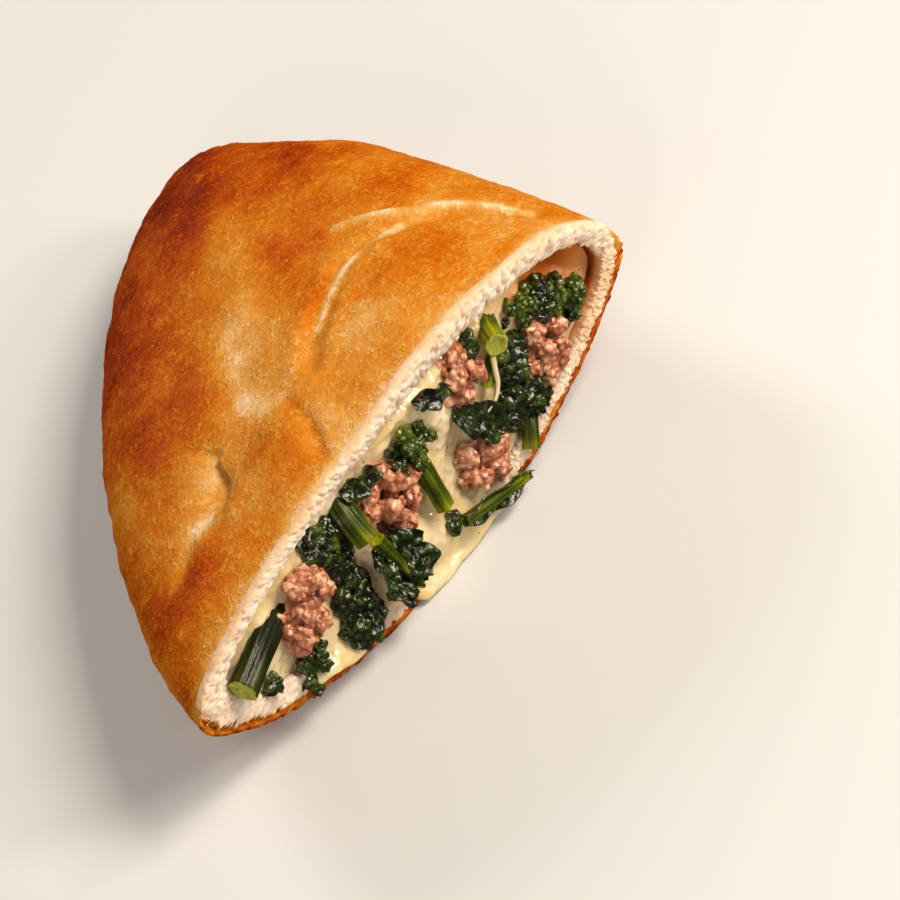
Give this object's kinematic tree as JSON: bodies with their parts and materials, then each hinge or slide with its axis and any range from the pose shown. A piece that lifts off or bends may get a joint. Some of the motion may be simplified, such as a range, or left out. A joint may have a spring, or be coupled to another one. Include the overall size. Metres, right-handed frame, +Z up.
{
  "type": "panzerotto half",
  "caption": "Cut half of a baked folded dough turnover: browned crust pocket open at the cut, filled with melted cheese, crumbled sausage and cooked broccoli rabe.",
  "frame": {"origin": "a point of the flat underside of the bottom crust, the centre of the area it rests on", "axes": "+X along the cut's chord, from the sealed seam to the fold; +Y from the cut face into the body, towards the horn; +Z up, away from the surface it rests on"},
  "size_m": [0.133, 0.1126, 0.0487],
  "materials": {
    "crust": "baked dough, golden to dark brown, matt with a faint oil sheen; pale crumb at the cut",
    "cheese": "melted cheese, cream, glossy",
    "sausage": "cooked crumbled sausage, pinkish brown, moist",
    "leaf": "cooked leaves and florets, dark green, oily",
    "stem": "cooked stems, yellow green, oily"
  },
  "bodies": {
    "root": {"crust": "crust", "sausage_1": "sausage", "sausage_2": "sausage", "sausage_3": "sausage", "sausage_4": "sausage", "sausage_5": "sausage", "rabe_stem_1": "stem", "rabe_stem_2": "stem", "rabe_stem_3": "stem", "rabe_leaf_1": "leaf", "rabe_floret_1": "leaf", "rabe_floret_2": "leaf", "rabe_floret_3": "leaf", "rabe_stem_4": "stem", "rabe_bunch_1": "leaf", "rabe_leaf_2": "leaf", "rabe_bunch_2": "leaf", "rabe_bunch_3": "leaf", "rabe_leaf_3": "leaf", "rabe_leaf_4": "leaf", "rabe_leaf_5": "leaf", "rabe_leaf_6": "leaf", "rabe_stem_5": "stem", "cheese": "cheese"}
  },
  "joints": []
}
